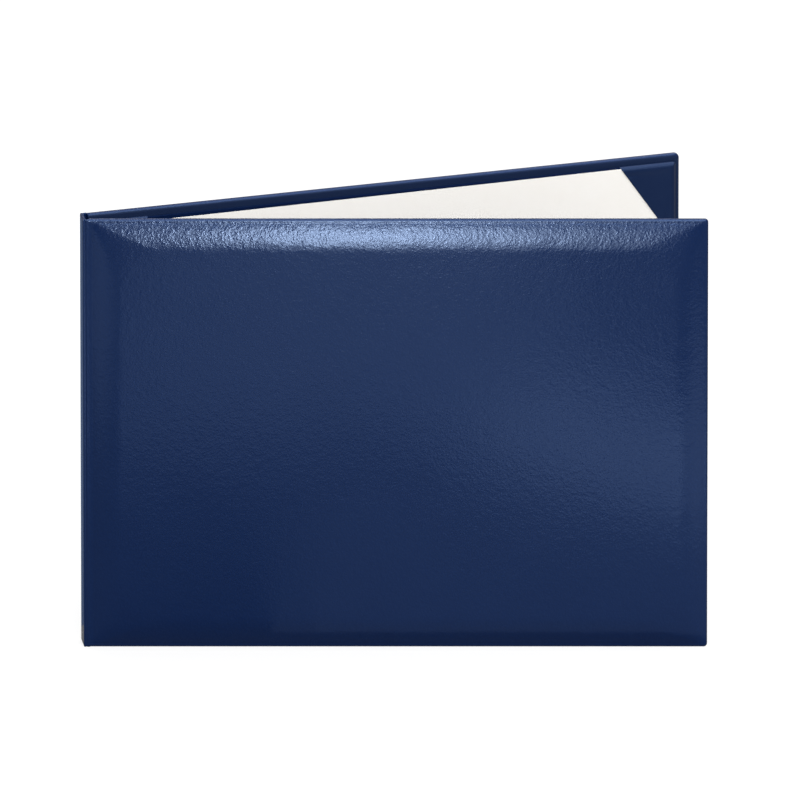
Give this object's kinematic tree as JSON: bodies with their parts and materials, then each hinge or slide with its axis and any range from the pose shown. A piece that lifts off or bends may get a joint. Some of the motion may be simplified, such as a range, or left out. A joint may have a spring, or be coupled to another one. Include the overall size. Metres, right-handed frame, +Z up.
{
  "type": "diploma cover",
  "caption": "Padded diploma cover standing slightly open: foam-padded covers hinged on a flat spine, with corner pockets that hold a landscape A4 sheet.",
  "frame": {"origin": "on the surface that the cover stands on, under the middle of its bounding box", "axes": "+Z up, +X from the spine to the fore edge along the front cover, +Y from the front cover towards the back cover"},
  "size_m": [0.3094, 0.101, 0.225],
  "materials": {
    "leatherette": "satin",
    "greyboard": "matte",
    "foam": "matte",
    "lining": "matte",
    "panel": "matte",
    "pocket_cloth": "matte",
    "ivory_paper": "matte"
  },
  "bodies": {
    "back_cover": {"back_skin": "leatherette", "back_board": "greyboard", "back_padding": "foam", "back_panel": "panel", "pocket_top_fore": "pocket_cloth", "pocket_bottom_fore": "pocket_cloth", "pocket_top_spine": "pocket_cloth", "pocket_bottom_spine": "pocket_cloth", "certificate_sheet": "ivory_paper"},
    "spine": {"spine_skin": "leatherette", "spine_stiffener": "greyboard", "spine_lining": "lining"},
    "front_cover": {"front_skin": "leatherette", "front_board": "greyboard", "front_padding": "foam", "front_lining": "lining"}
  },
  "joints": [
    {"name": "back_hinge", "type": "hinge", "parent": "back_cover", "child": "spine", "pos_m": [-0.15473, -0.03764, 0.1125], "axis": [0, 0, -1], "range_deg": [-8.35, 81.65]},
    {"name": "front_hinge", "type": "hinge", "parent": "spine", "child": "front_cover", "pos_m": [-0.15327, -0.04754, 0.1125], "axis": [0, 0, -1], "range_deg": [-8.35, 81.65]}
  ]
}
